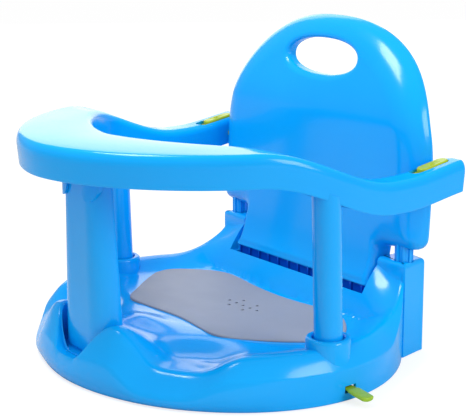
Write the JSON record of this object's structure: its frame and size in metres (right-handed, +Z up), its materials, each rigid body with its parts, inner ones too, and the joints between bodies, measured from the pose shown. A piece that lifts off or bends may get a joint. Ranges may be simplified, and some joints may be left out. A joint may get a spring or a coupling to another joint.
{
  "type": "baby bath seat",
  "caption": "Round plastic bath seat on suction cups, with a rolled-edge backrest, a tray ring on two posts and a front leg, and a sprung button in each arm",
  "frame": {"origin": "middle of the seat's width and depth, on the surface it stands on", "axes": "+Z up, the seat faces -Y, its width lies along X"},
  "size_m": [0.406, 0.3574, 0.298],
  "materials": {
    "shell": "glossy",
    "pad": "matte",
    "button": "satin",
    "cup": "soft and translucent",
    "steel": "zinc plated"
  },
  "bodies": {
    "seat": {"base": "shell", "seat_pad": "pad", "backrest": "shell", "tray_ring": "shell", "front_leg": "shell", "post_left": "shell", "post_right": "shell", "latch_spring_left": "steel", "latch_spring_right": "steel", "latch_cover_left": "shell", "latch_cover_right": "shell", "cover_screws": "steel", "suction_cup_left": "cup", "suction_cup_right": "cup", "suction_cup_rear_left": "cup", "suction_cup_rear_right": "cup"},
    "latch_left": {"latch_left": "button"},
    "latch_right": {"latch_right": "button"}
  },
  "joints": [
    {"name": "latch_left_slide", "type": "slide", "parent": "seat", "child": "latch_left", "axis": [0, -0.9859, -0.1672], "range_m": [0, 0.005], "stiffness_N_per_m": 800, "springref_m": -0.004, "deforming": ["latch_spring_left"]},
    {"name": "latch_right_slide", "type": "slide", "parent": "seat", "child": "latch_right", "axis": [0, -0.9859, -0.1672], "range_m": [0, 0.005], "stiffness_N_per_m": 800, "springref_m": -0.004, "deforming": ["latch_spring_right"]}
  ]
}
